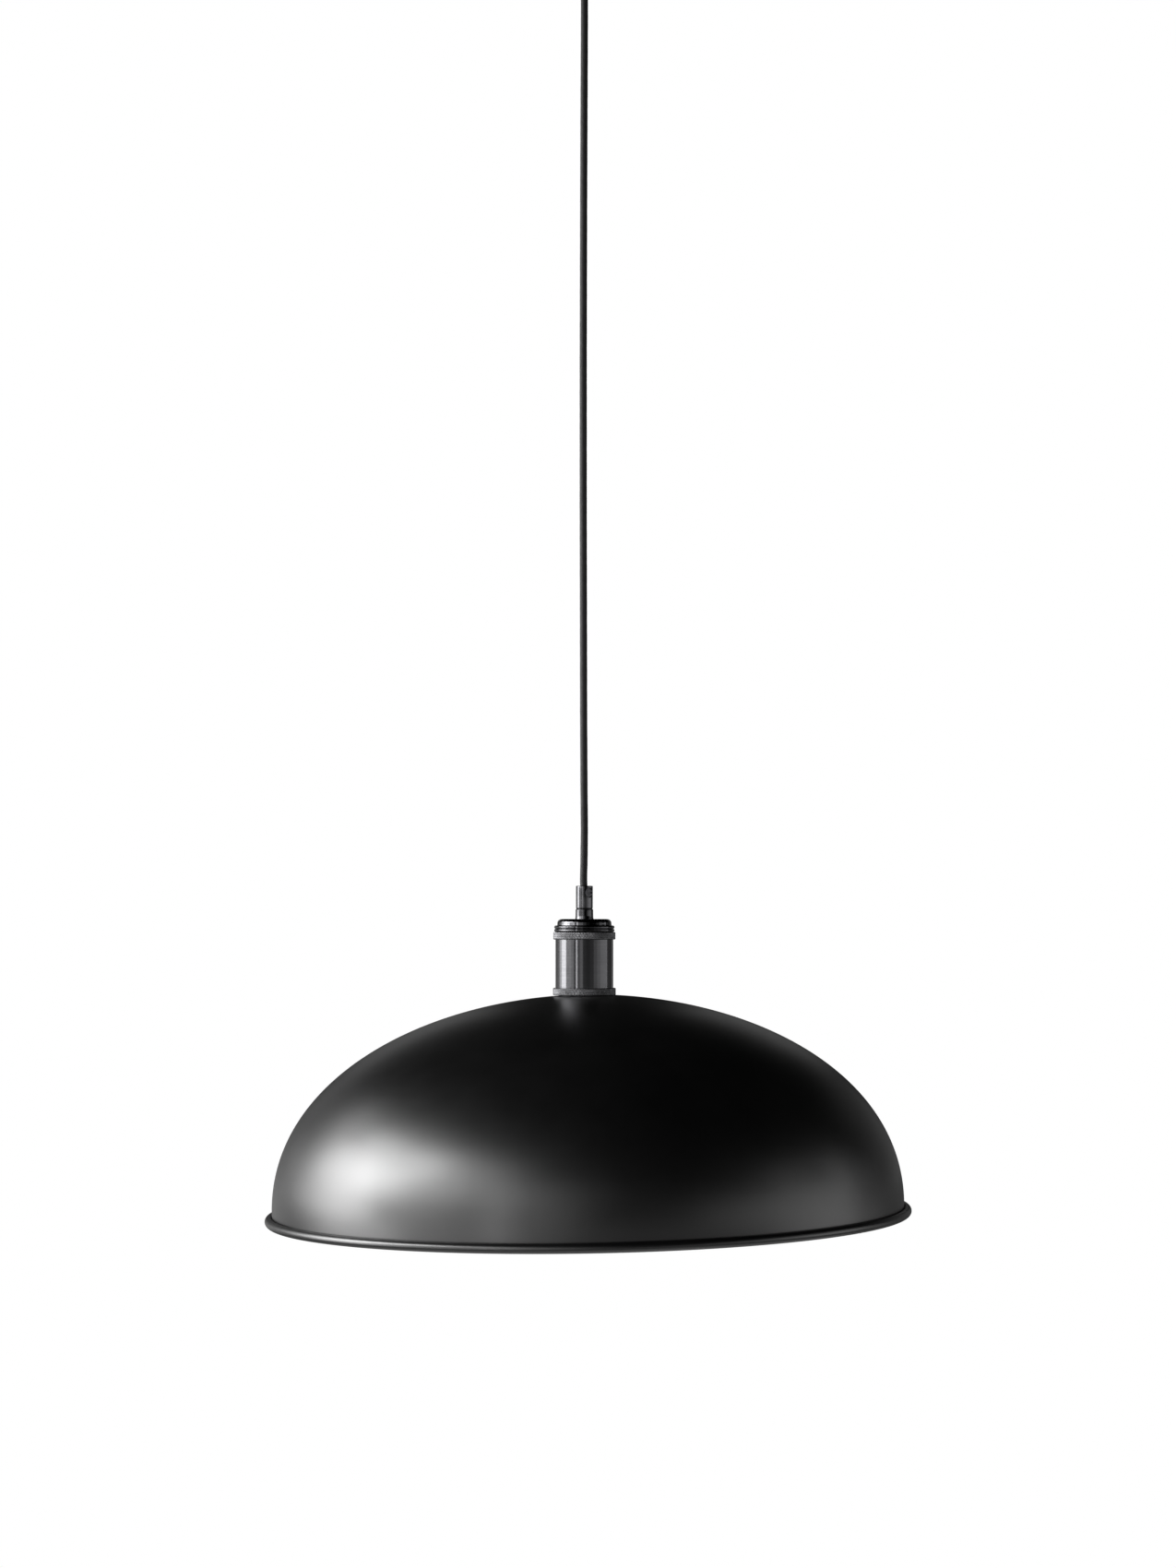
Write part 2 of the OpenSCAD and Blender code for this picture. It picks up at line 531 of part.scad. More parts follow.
module bulb_filament() color([0.3, 0.3, 0.3]) on_seat() translate([0, 0, -58])
    rotate([0, 0, 0]) rotate_extrude(angle = 180) translate([arc_r, 0]) circle(0.5, $fn = 24);

ceiling_bracket();
canopy_cup();
canopy_screws();
bracket_earth_screw();
bracket_earth_tag();
terminal_block();
terminal_sleeves();
terminal_screws();
canopy_nipple();
canopy_nut();
canopy_grip();
canopy_grip_screw();
canopy_cable();
canopy_lead_live();
canopy_lead_neutral();
canopy_lead_earth();
cable_bend();
cable();
holder_cable();
grip_sleeve();
grip_collar();
grip_screw();
holder_nipple();
holder_nut();
lock_washer();
holder_earth_tag();
socket_cap();
upper_ring();
socket_sleeve();
lower_ring();
threaded_skirt();
contact_base();
thread_shell();
centre_contact();
holder_terminals();
holder_terminal_screws();
holder_lead_live();
holder_lead_neutral();
holder_lead_earth();
shade();
retaining_ring();
bulb_glass();
bulb_cap();
bulb_insulator();
bulb_tip();
bulb_stem();
bulb_support_wires();
bulb_filament();
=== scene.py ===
import json
import math

import bpy
import bmesh
import numpy as np
from mathutils import Matrix, Vector


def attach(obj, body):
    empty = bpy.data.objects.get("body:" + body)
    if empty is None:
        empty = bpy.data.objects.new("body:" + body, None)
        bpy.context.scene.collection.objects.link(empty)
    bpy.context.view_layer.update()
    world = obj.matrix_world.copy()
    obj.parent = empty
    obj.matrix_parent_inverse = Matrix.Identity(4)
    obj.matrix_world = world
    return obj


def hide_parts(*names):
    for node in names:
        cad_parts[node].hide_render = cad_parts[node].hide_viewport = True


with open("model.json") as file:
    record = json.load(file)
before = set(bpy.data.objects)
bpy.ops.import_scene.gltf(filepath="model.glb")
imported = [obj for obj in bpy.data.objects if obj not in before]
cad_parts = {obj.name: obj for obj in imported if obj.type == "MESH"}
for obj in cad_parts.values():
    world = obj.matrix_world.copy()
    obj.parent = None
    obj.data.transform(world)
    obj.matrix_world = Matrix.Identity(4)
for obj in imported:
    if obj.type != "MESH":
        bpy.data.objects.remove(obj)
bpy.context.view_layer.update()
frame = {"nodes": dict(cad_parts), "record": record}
scene = bpy.context.scene

SEAT = -870.2          # the shade's seat, in millimetres below the ceiling
BEND = -66.5           # where the cable bends under the canopy's grip
GRIP_TOP = 85.2        # top of the lampholder's grip above the seat
CLAMP = math.radians(38)   # direction of the clamping screws, right of the front


# ---------------------------------------------------------------- camera

cam_data = bpy.data.cameras.new("camera")
cam_data.sensor_fit = "AUTO"
cam_data.sensor_width = 36.0
cam_data.lens = 65.97
cam_data.clip_start = 0.05
cam_data.clip_end = 100
cam = bpy.data.objects.new("camera", cam_data)
cam.location = (0.00282, -2.2472, -0.81365)
cam.rotation_euler = (math.pi / 2 + 0.0482, 0, 0)
scene.collection.objects.link(cam)
scene.camera = cam


# ---------------------------------------------------------------- mesh making

def add_object(name, verts, faces, body, replaces=(), mat=None, sharp=32):
    """A mesh from points in millimetres, smooth apart from edges sharper than an angle."""
    me = bpy.data.meshes.new(name)
    me.from_pydata((np.asarray(verts, float) * 0.001).tolist(), [], faces)
    me.validate()
    me.update()
    for p in me.polygons:
        p.use_smooth = True
    me.set_sharp_from_angle(angle=math.radians(sharp))
    o = bpy.data.objects.new(name, me)
    scene.collection.objects.link(o)
    if body:
        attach(o, body)
    for n in replaces:
        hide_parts(n)
    if mat:
        me.materials.append(mat)
    return o


def turned(outline, n, radius=None, dz=0.0):
    """Points and faces of an outline of (r, z) turned round Z. It is closed, or starts and ends on the axis.
    radius(k, r, z, angles) may change the radius of outline point k round the turn."""
    pts = [(float(r), float(z)) for r, z in outline]
    poles = abs(pts[0][0]) < 1e-6 and abs(pts[-1][0]) < 1e-6
    area = sum(a[0] * b[1] - b[0] * a[1] for a, b in zip(pts, pts[1:] + pts[:1]))
    if area < 0:
        pts.reverse()
    ang = np.arange(n) * 2 * math.pi / n
    ca, sa = np.cos(ang), np.sin(ang)
    verts, start = [], []
    for k, (r, z) in enumerate(pts):
        start.append(len(verts))
        if r < 1e-6:
            verts.append((0, 0, z + dz))
            continue
        rr = np.full(n, r) if radius is None else radius(k, r, z, ang)
        verts.extend(np.column_stack([rr * ca, rr * sa, np.full(n, z + dz)]).tolist())
    faces = []
    m = len(pts)
    for k in range(m - 1 if poles else m):
        a, b = k, (k + 1) % m
        ra, rb = pts[a][0] < 1e-6, pts[b][0] < 1e-6
        for j in range(n):
            i = (j + 1) % n
            if ra and rb:
                break
            if ra:
                faces.append((start[a], start[b] + i, start[b] + j))
            elif rb:
                faces.append((start[a] + j, start[a] + i, start[b]))
            else:
                faces.append((start[a] + j, start[a] + i, start[b] + i, start[b] + j))
    return verts, faces


def arc(cr, cz, r, a0, a1, n):
    """Points of an arc, its angles in degrees from +r."""
    return [(cr + r * math.cos(math.radians(a0 + (a1 - a0) * i / n)),
             cz + r * math.sin(math.radians(a0 + (a1 - a0) * i / n))) for i in range(n + 1)]


def soften(points, radius, steps=3):
    """The same closed outline with its corners rounded by small arcs."""
    out = []
    m = len(points)
    for i in range(m):
        p0, p1, p2 = (np.array(points[(i + d) % m], float) for d in (-1, 0, 1))
        a, b = p0 - p1, p2 - p1
        la, lb = np.linalg.norm(a), np.linalg.norm(b)
        if la < 1e-9 or lb < 1e-9:
            continue
        a, b = a / la, b / lb
        turn = math.degrees(math.acos(max(-1, min(1, float(-a @ b)))))
        if turn < 18:
            out.append(tuple(p1))
            continue
        cut = min(radius, 0.45 * la, 0.45 * lb)
        s, t = p1 + a * cut, p1 + b * cut
        for k in range(steps + 1):
            u = k / steps
            out.append(tuple((1 - u) ** 2 * s + 2 * u * (1 - u) * p1 + u * u * t))
    return out


def tube(path, radii, sides, twist=None):
    """A round tube along a path, its ends closed. radii is one number a ring, or a function of (ring, angles)."""
    p = np.asarray(path, float)
    n = len(p)
    t = np.gradient(p, axis=0)
    t /= np.linalg.norm(t, axis=1)[:, None]
    ang = np.arange(sides) * 2 * math.pi / sides
    verts, faces = [], []
    u = np.cross(t[0], (0, 1, 0) if abs(t[0][2]) > 0.8 else (0, 0, 1))
    for i in range(n):
        u = u - t[i] * (u @ t[i])
        u /= np.linalg.norm(u)
        v = np.cross(t[i], u)
        r = radii(i, ang) if callable(radii) else np.full(sides, radii[i] if hasattr(radii, "__len__") else radii)
        ring = p[i] + r[:, None] * (np.cos(ang)[:, None] * u + np.sin(ang)[:, None] * v)
        verts.extend(ring.tolist())
    for i in range(n - 1):
        for k in range(sides):
            a, b = i * sides + k, i * sides + (k + 1) % sides
            faces.append((a, b, b + sides, a + sides))
    faces.append(tuple(range(sides - 1, -1, -1)))
    faces.append(tuple((n - 1) * sides + k for k in range(sides)))
    return verts, faces


def drill(o, cutter):
    """Cuts a helper mesh out of a piece, applies it and removes the helper."""
    mod = o.modifiers.new("hole", "BOOLEAN")
    mod.operation = "DIFFERENCE"
    mod.solver = "EXACT"
    mod.object = cutter
    dg = bpy.context.evaluated_depsgraph_get()
    me = bpy.data.meshes.new_from_object(o.evaluated_get(dg))
    o.modifiers.clear()
    old = o.data
    o.data = me
    bpy.data.meshes.remove(old)
    bpy.data.objects.remove(cutter)
    for p in me.polygons:
        p.use_smooth = True
    me.set_sharp_from_angle(angle=math.radians(32))


# ---------------------------------------------------------------- materials

def start_material(name):
    m = bpy.data.materials.new(name)
    m.use_nodes = True
    nt = m.node_tree
    nt.nodes.clear()
    out = nt.nodes.new("ShaderNodeOutputMaterial")
    b = nt.nodes.new("ShaderNodeBsdfPrincipled")
    nt.links.new(b.outputs["BSDF"], out.inputs["Surface"])
    return m, nt, b


def noise_of(nt, scale, stretch=(1, 1, 1), detail=4, rough=0.55):
    tc = nt.nodes.new("ShaderNodeTexCoord")
    mp = nt.nodes.new("ShaderNodeMapping")
    mp.inputs["Scale"].default_value = stretch
    no = nt.nodes.new("ShaderNodeTexNoise")
    no.inputs["Scale"].default_value = scale
    no.inputs["Detail"].default_value = detail
    no.inputs["Roughness"].default_value = rough
    nt.links.new(tc.outputs["Object"], mp.inputs["Vector"])
    nt.links.new(mp.outputs["Vector"], no.inputs["Vector"])
    return no.outputs["Fac"]


def mapped(nt, fac, lo, hi, a=0.3, b=0.7):
    mr = nt.nodes.new("ShaderNodeMapRange")
    mr.inputs["From Min"].default_value = a
    mr.inputs["From Max"].default_value = b
    mr.inputs["To Min"].default_value = lo
    mr.inputs["To Max"].default_value = hi
    nt.links.new(fac, mr.inputs["Value"])
    return mr.outputs["Result"]


def two_colours(nt, fac, c0, c1, a=0.35, b=0.65):
    cr = nt.nodes.new("ShaderNodeValToRGB")
    cr.color_ramp.elements[0].position = a
    cr.color_ramp.elements[0].color = (*c0, 1)
    cr.color_ramp.elements[1].position = b
    cr.color_ramp.elements[1].color = (*c1, 1)
    nt.links.new(fac, cr.inputs["Fac"])
    return cr.outputs["Color"]


def bumped(nt, b, fac, distance, strength=1.0, under=None):
    bp = nt.nodes.new("ShaderNodeBump")
    bp.inputs["Strength"].default_value = strength
    bp.inputs["Distance"].default_value = distance
    nt.links.new(fac, bp.inputs["Height"])
    if under is not None:
        nt.links.new(under, bp.inputs["Normal"])
    nt.links.new(bp.outputs["Normal"], b.inputs["Normal"])
    return bp.outputs["Normal"]


def finish_of(name, c0, c1, rough, scale=300, stretch=(1, 1, 1), bump_scale=2500, bump=0.00001, metal=0.0, sockets=None, detail=4):
    """A material with mottled colour, uneven gloss and a fine surface grain."""
    m, nt, b = start_material(name)
    broad = noise_of(nt, scale, stretch, detail)
    nt.links.new(two_colours(nt, broad, c0, c1), b.inputs["Base Color"])
    nt.links.new(mapped(nt, noise_of(nt, scale * 2.3, stretch, 3), *rough), b.inputs["Roughness"])
    bumped(nt, b, noise_of(nt, bump_scale, stretch, 2), bump)
    b.inputs["Metallic"].default_value = metal
    for k, v in (sockets or {}).items():
        b.inputs[k].default_value = v
    return m


def brushed(name, c0, c1, rough, aniso=0.8, lines=7000, bump=0.000004):
    """Metal brushed round the axis: fine level lines, and highlights drawn out upright."""
    m, nt, b = start_material(name)
    fac = noise_of(nt, 1.0, (26, 26, lines), 3, 0.7)
    broad = noise_of(nt, 60, (1, 1, 1), 3)
    nt.links.new(two_colours(nt, fac, c0, c1, 0.3, 0.7), b.inputs["Base Color"])
    nt.links.new(mapped(nt, broad, *rough), b.inputs["Roughness"])
    b.inputs["Metallic"].default_value = 1.0
    b.inputs["Anisotropic"].default_value = aniso
    b.inputs["Anisotropic Rotation"].default_value = 0.25
    tg = nt.nodes.new("ShaderNodeTangent")
    tg.direction_type = "RADIAL"
    tg.axis = "Z"
    nt.links.new(tg.outputs["Tangent"], b.inputs["Tangent"])
    bumped(nt, b, fac, bump)
    return m


def powder_black():
    m, nt, b = start_material("satin_black_powder_coat")
    peel = noise_of(nt, 900, (1, 1, 1), 3, 0.6)
    cloud = noise_of(nt, 22, (1, 1, 1), 4, 0.6)
    specks = noise_of(nt, 4200, (1, 1, 1), 2, 0.5)
    nt.links.new(two_colours(nt, cloud, (0.0020, 0.0020, 0.0021), (0.0034, 0.0034, 0.0035)), b.inputs["Base Color"])
    nt.links.new(mapped(nt, cloud, 0.335, 0.36), b.inputs["Roughness"])
    b.inputs["Specular IOR Level"].default_value = 1.0
    under = bumped(nt, b, peel, 0.00002)
    bumped(nt, b, specks, 0.000008, under=under)
    return m


def textile_black(name="black_textile_braid"):
    m, nt, b = start_material(name)
    fibre = noise_of(nt, 5200, (1, 1, 0.35), 4, 0.65)
    fuzz = noise_of(nt, 1300, (1, 1, 1), 3)
    nt.links.new(two_colours(nt, fibre, (0.003, 0.003, 0.0031), (0.028, 0.028, 0.029), 0.40, 0.74), b.inputs["Base Color"])
    nt.links.new(mapped(nt, fuzz, 0.5, 0.72), b.inputs["Roughness"])
    b.inputs["Sheen Weight"].default_value = 0.06
    b.inputs["Sheen Roughness"].default_value = 0.4
    bumped(nt, b, fibre, 0.00008, 0.8)
    return m


def clear_glass():
    m, nt, b = start_material("clear_bulb_glass")
    wave = noise_of(nt, 45, (1, 1, 1), 2)
    nt.links.new(two_colours(nt, wave, (0.985, 0.99, 0.99), (1, 1, 1)), b.inputs["Base Color"])
    nt.links.new(mapped(nt, wave, 0.0, 0.02), b.inputs["Roughness"])
    b.inputs["Transmission Weight"].default_value = 1.0
    b.inputs["IOR"].default_value = 1.46
    bumped(nt, b, wave, 0.00003)
    return m


def make_materials():
    f = finish_of
    return {
        "bracket_zinc": f("zinc_plated_steel", (0.50, 0.51, 0.53), (0.66, 0.67, 0.69), (0.26, 0.42), 120, metal=1.0, bump=0.000012),
        "canopy_black": powder_black(),
        "black_screws": f("blackened_screw_steel", (0.03, 0.03, 0.032), (0.06, 0.06, 0.063), (0.32, 0.45), 500, metal=0.6),
        "brass": f("plain_brass", (0.66, 0.47, 0.20), (0.80, 0.60, 0.30), (0.2, 0.36), 160, metal=1.0),
        "terminal_nylon": f("white_nylon", (0.72, 0.72, 0.68), (0.80, 0.80, 0.77), (0.42, 0.55), 250, sockets={"Subsurface Weight": 0.1, "Subsurface Scale": 0.002}),
        "steel_screws": f("plain_screw_steel", (0.5, 0.5, 0.52), (0.66, 0.66, 0.68), (0.24, 0.38), 500, metal=1.0),
        "polished_dark_nickel": f("polished_dark_nickel", (0.08, 0.08, 0.083), (0.11, 0.11, 0.114), (0.07, 0.12), 90, bump_scale=300, bump=0.0000010, metal=1.0),
        "dark_screw": f("dark_screw_steel", (0.05, 0.05, 0.053), (0.1, 0.1, 0.105), (0.28, 0.42), 600, metal=1.0),
        "brushed_dark_nickel": brushed("brushed_dark_nickel", (0.074, 0.074, 0.077), (0.108, 0.108, 0.112), (0.15, 0.19)),
        "knurled_dark_nickel": f("knurled_dark_nickel", (0.08, 0.08, 0.083), (0.12, 0.12, 0.124), (0.24, 0.34), 300, bump_scale=3000, bump=0.000002, metal=1.0),
        "black_braid": textile_black(),
        "brown_wire": f("brown_insulation", (0.10, 0.035, 0.012), (0.14, 0.05, 0.018), (0.36, 0.46), 700),
        "blue_wire": f("blue_insulation", (0.01, 0.045, 0.25), (0.015, 0.06, 0.32), (0.36, 0.46), 700),
        "earth_wire": f("green_yellow_insulation", (0.05, 0.22, 0.03), (0.62, 0.5, 0.03), (0.36, 0.46), 160, stretch=(1, 1, 1)),
        "black_phenolic": f("black_phenolic_moulding", (0.010, 0.010, 0.0105), (0.018, 0.018, 0.019), (0.25, 0.36), 140, bump=0.00001),
        "porcelain": f("glazed_porcelain", (0.80, 0.78, 0.72), (0.86, 0.85, 0.80), (0.12, 0.24), 120, bump_scale=500, bump=0.00002, sockets={"Coat Weight": 0.6, "Coat Roughness": 0.08}),
        "shade_black": powder_black(),
        "bulb_glass": clear_glass(),
        "cap_nickel": f("nickel_plated_cap", (0.56, 0.56, 0.57), (0.70, 0.70, 0.71), (0.18, 0.34), 260, metal=1.0),
        "bulb_insulator": f("black_cap_glass", (0.01, 0.01, 0.016), (0.025, 0.024, 0.034), (0.1, 0.2), 300),
        "bulb_wire": f("support_wire_steel", (0.38, 0.38, 0.39), (0.52, 0.52, 0.53), (0.28, 0.45), 900, metal=1.0),
    }


MAT = make_materials()

# every CAD node wears its slot's material
for sub in frame["record"]["subparts"]:
    node = frame["nodes"][sub["node"]]
    node.data.materials.clear()
    node.data.materials.append(MAT[sub["material_slot"]])


# ---------------------------------------------------------------- the cable: a braided tube

STRAY = [(1.6, 0), (30, 0), (180, -0.6), (300, -0.9), (420, -0.9), (520, -0.7), (580, -0.6),
         (640, -0.3), (675, 0), (700, -0.3), (714, -0.7), (718.85, -0.4)]


def make_cable():
    depth = np.linspace(1.6, 718.85, 2040)
    knots = np.array(STRAY)
    # the route's own points, joined by a smooth curve that keeps their order
    x = np.interp(depth, knots[:, 0], knots[:, 1])
    kernel = np.hanning(41)
    kernel /= kernel.sum()
    padded = np.concatenate([np.full(20, x[0]), x, np.full(20, x[-1])])
    x = np.convolve(padded, kernel, "valid")
    path = np.column_stack([x, np.zeros_like(x), BEND - depth])
    strands, lay = 12, 21.0

    def surface(i, ang):
        u = strands * (ang / (2 * math.pi) + depth[i] / (lay * 1.0))
        v = strands * (ang / (2 * math.pi) - depth[i] / (lay * 1.0))
        fa, fb = u - np.floor(u) - 0.5, v - np.floor(v) - 0.5
        over = (np.floor(u) + np.floor(v)) % 2 < 0.5
        ca, cb = np.cos(math.pi * fa), np.cos(math.pi * fb)
        h = np.where(over, 0.62 * ca + 0.38 * cb, 0.62 * cb + 0.38 * ca)
        # yarns worn a little uneven along the cable
        slow = 0.02 * np.sin(depth[i] * 0.7 + 3 * ang) + 0.02 * np.sin(depth[i] * 0.23)
        return 2.60 + 0.27 * h + slow

    verts, faces = tube(path, surface, 64)
    o = add_object("pendant_cable", verts, faces, "hanging_cable", ["cable"], MAT["black_braid"], 75)
    return o


make_cable()


# ---------------------------------------------------------------- the shade

DOME_R, WALL_POWER, CROWN_POWER = 245.15, 2.226, 1.956
SEAT_R, HOLE_R, WALL = 26.0, 20.4, 1.0
FLAT_T = 1 - (1 - (SEAT_R / DOME_R) ** CROWN_POWER) ** (1 / WALL_POWER)
SHADE_H = 168.2
DOME_H = SHADE_H / (1 - FLAT_T)
RIM_R, RIM_MID = 3.5, 246.5


def dome(t):
    t = min(max(t, 0), 1)
    r = DOME_R * (1 - (1 - t) ** WALL_POWER) ** (1 / CROWN_POWER) - 0.8 * t ** 8
    return np.array([r, -DOME_H * (t - FLAT_T)])


def dome_inside(t):
    d = dome(min(t + 0.002, 1)) - dome(t - 0.002)
    d /= np.linalg.norm(d)
    return dome(t) + WALL * np.array([d[1], -d[0]])


def make_shade():
    ts = [FLAT_T + (1 - FLAT_T) * (i / 190) ** 1.5 for i in range(1, 189)]
    outer = [tuple(dome(t)) for t in ts]
    inner = [tuple(dome_inside(t)) for t in ts]
    mid = (RIM_MID, -SHADE_H)
    # the sheet runs down the wall into the curl, out, up and back to the wall
    curl_in = arc(*mid, RIM_R - WALL, 186, 474, 56)
    lip = arc(mid[0] + (RIM_R - WALL / 2) * math.cos(math.radians(474)), mid[1] + (RIM_R - WALL / 2) * math.sin(math.radians(474)),
              WALL / 2, 474 + 180, 474 + 360, 8)[1:-1]
    curl_out = arc(*mid, RIM_R, 474, 184, 72)
    # a soft turn from the flat seat into the dome
    outline = ([(HOLE_R, -0.15), (HOLE_R + 0.15, 0), (SEAT_R - 1.2, 0), (SEAT_R, -0.03)] + outer + curl_in + lip[::1] + curl_out
               + inner[::-1] + [(SEAT_R - 0.6, -WALL), (HOLE_R + 0.15, -WALL), (HOLE_R, -WALL + 0.15)])
    verts, faces = turned(outline, 384)
    v = np.array(verts)
    a = math.radians(-1.0)
    turn = np.array([[math.cos(a), 0, math.sin(a)], [0, 1, 0], [-math.sin(a), 0, math.cos(a)]])
    v = v @ turn.T
    v[:, 2] += SEAT - 0.45
    return add_object("dome_shade", v, faces, "shade_body", ["shade"], MAT["shade_black"], 50)


make_shade()


# ---------------------------------------------------------------- the lampholder

def holder(name, outline, n, node, slot, radius=None, round_off=0.12, body="lampholder", sharp=32):
    if round_off:
        outline = soften(outline, round_off)
    verts, faces = turned(outline, n, radius, SEAT)
    return add_object(name, verts, faces, body, [node], MAT[slot], sharp)


def knurl(r_full, z0, z1, depth=0.3, count=144, pitch=3.3):
    """Diamond knurling between two heights: two families of slanting grooves."""
    def radius(k, r, z, ang):
        rr = np.full(len(ang), r)
        if abs(r - r_full) > 0.02 or z < z0 - 1e-6 or z > z1 + 1e-6:
            return rr
        out = np.zeros(len(ang))
        for s in (-1, 1):
            u = count * ang / (2 * math.pi) + s * z / pitch
            d = np.abs(u - np.floor(u) - 0.5) * 2
            out = np.maximum(out, d ** 1.5)
        return rr - depth * out
    return radius


def knurled_outline(r, h, z0, bore_low, step_z, bore_high, rows=26):
    """Bore below step_z is bore_low and above it bore_high."""
    rows_z = np.linspace(z0 + 0.42, z0 + h - 0.42, rows)
    wall = [(r, z) for z in rows_z]
    inner = [(bore_high, z0 + h), (bore_high, step_z), (bore_low, step_z), (bore_low, z0)]
    return [(r - 0.55, z0), (r - 0.28, z0 + 0.14)] + wall + [(r - 0.28, z0 + h - 0.14), (r - 0.55, z0 + h)] + inner


holder("lower_knurled_ring", knurled_outline(24.5, 5.6, 0, 20.0, 3.6, 22.55), 1152, "lower_ring", "knurled_dark_nickel",
       knurl(24.5, 0.42, 5.18), 0, sharp=60)
holder("upper_knurled_ring", knurled_outline(24.25, 5.78, 43.4, 22.55, 46.75, 21.75), 1152, "upper_ring", "knurled_dark_nickel",
       knurl(24.25, 43.82, 48.76), 0, sharp=60)
holder("sleeve_tube", [(21.3, 3.7), (22.5, 3.7)] + [(22.5, 3.7 + 42.9 * i / 12) for i in range(1, 12)] + [(22.5, 46.6), (21.3, 46.6)],
       256, "socket_sleeve", "brushed_dark_nickel", None, 0.15)


def cap_outline():
    top = [(5.1, 59.3), (5.1, 58.1), (17.9, 58.1)] + arc(18.15, 56.3, 1.8, 90, 0, 6)[1:] + [(19.95, 52.6), (20.4, 52.5), (20.4, 46.9)]
    skirt = [(21.7, 46.9), (21.7, 49.25)]
    bead_low = arc(22.22, 50.5, 1.28, -82, 62, 16)
    bead_high = arc(22.22, 53.0, 1.28, -62, 84, 16)
    crown = [(21.45, 54.32), (21.2, 54.45), (21.15, 54.75), (21.08, 55.4)] + arc(17.95, 56.15, 3.1, 0, 86, 16)[1:] + [(17.0, 59.3)]
    return skirt + bead_low + bead_high + crown + top


holder("beaded_cap", cap_outline(), 256, "socket_cap", "polished_dark_nickel", None, 0.0, sharp=40)
holder("grip_foot", [(5.1, 59.3), (7.15, 59.3), (7.05, 59.9), (6.9, 60.8), (6.85, 63), (6.8, 66.6), (6.55, 66.95), (6.4, 67.2), (5.1, 67.2)],
       128, "grip_collar", "polished_dark_nickel", None, 0.1)


def grip(name, node, slot, body, z_low, length, outline, screw_z):
    verts, faces = turned(soften(outline, 0.15), 160)
    v = np.array(verts)
    v[:, 2] += z_low
    o = add_object(name, v, faces, body, [node], MAT[slot])
    ang = np.arange(72) * 2 * math.pi / 72
    ring = []
    # a drilled hole with a small countersink at its mouth
    for dist, r in ((2.9, 3.5), (6.15, 3.5), (6.75, 4.1), (9.0, 4.1)):
        ring.append([(r * math.cos(a), dist, r * math.sin(a)) for a in ang])
    n = len(ang)
    cv = [p for loop in ring for p in loop]
    cf = [(i * n + k, (i + 1) * n + k, (i + 1) * n + (k + 1) % n, i * n + (k + 1) % n) for i in range(3) for k in range(n)]
    cf += [tuple(range(n)), tuple(3 * n + k for k in range(n - 1, -1, -1))]
    # the hole's axis points from the centre towards the clamping direction
    d = np.array([math.sin(CLAMP), -math.cos(CLAMP), 0])
    side = np.array([math.cos(CLAMP), math.sin(CLAMP), 0])
    cv = [(side * p[0] + d * p[1] + np.array([0, 0, p[2] + screw_z])).tolist() for p in cv]
    cutter = add_object("hole_cutter", cv, cf, None)
    bm = bmesh.new()
    bm.from_mesh(cutter.data)
    bmesh.ops.recalc_face_normals(bm, faces=bm.faces)
    bm.to_mesh(cutter.data)
    bm.free()
    drill(o, cutter)
    return o


grip("cable_grip", "grip_sleeve", "polished_dark_nickel", "lampholder", SEAT, 18,
     [(5.1, 67.2), (6.2, 67.2), (6.2, 67.55), (6.55, 67.95), (6.55, 84.9), (6.25, 85.2), (3.9, 85.2), (3.4, 84.6), (3.4, 71.2), (5.1, 71.2)],
     SEAT + GRIP_TOP - 5.4)
grip("canopy_cable_grip", "canopy_grip", "polished_dark_nickel", "ceiling_mount", -65, 20,
     [(3.4, 0.6), (3.9, 0), (6.15, 0), (6.55, 0.4), (6.55, 19.7), (6.25, 20), (5.05, 20), (5.05, 11), (3.4, 11)],
     -59.0)


# ---------------------------------------------------------------- canopy cup

def make_canopy():
    outline = ([(5.1, -45), (44, -45)] + arc(44, -39, 6, -90, 0, 14)[1:] + [(50, -20), (50, -0.3), (49.8, 0), (49.2, 0), (49, -0.3), (49, -20)]
               + arc(44, -39, 5, 0, -90, 12) + [(5.1, -44)])
    verts, faces = turned(outline, 192)
    return add_object("canopy_shell", verts, faces, "ceiling_mount", ["canopy_cup"], MAT["canopy_black"], 40)


make_canopy()


# ---------------------------------------------------------------- under the shade: ring and bulb

def make_ring():
    base = soften([(20, 0.5), (20.5, 0), (26.5, 0), (27.5, 1), (27.5, 8), (20, 8)], 0.25)

    def radius(k, r, z, ang):
        rr = np.full(len(ang), r)
        if r < 24:
            return rr
        step = 2 * math.pi / 18
        phi = (ang + step / 2) % step - step / 2
        side = 28.6 * np.sin(phi)
        inside = np.abs(side) < 2.2
        cut = np.where(inside, 28.6 * np.cos(phi) - np.sqrt(np.maximum(2.2 ** 2 - side ** 2, 0)), 99)
        return np.minimum(rr, cut - (27.5 - r) * np.where(inside, 0.6, 0))
    verts, faces = turned(base, 720, radius)
    v = np.array(verts)
    v[:, 2] += SEAT - 10.3
    return add_object("scalloped_ring", v, faces, "shade_ring", ["retaining_ring"], MAT["black_phenolic"], 40)


make_ring()


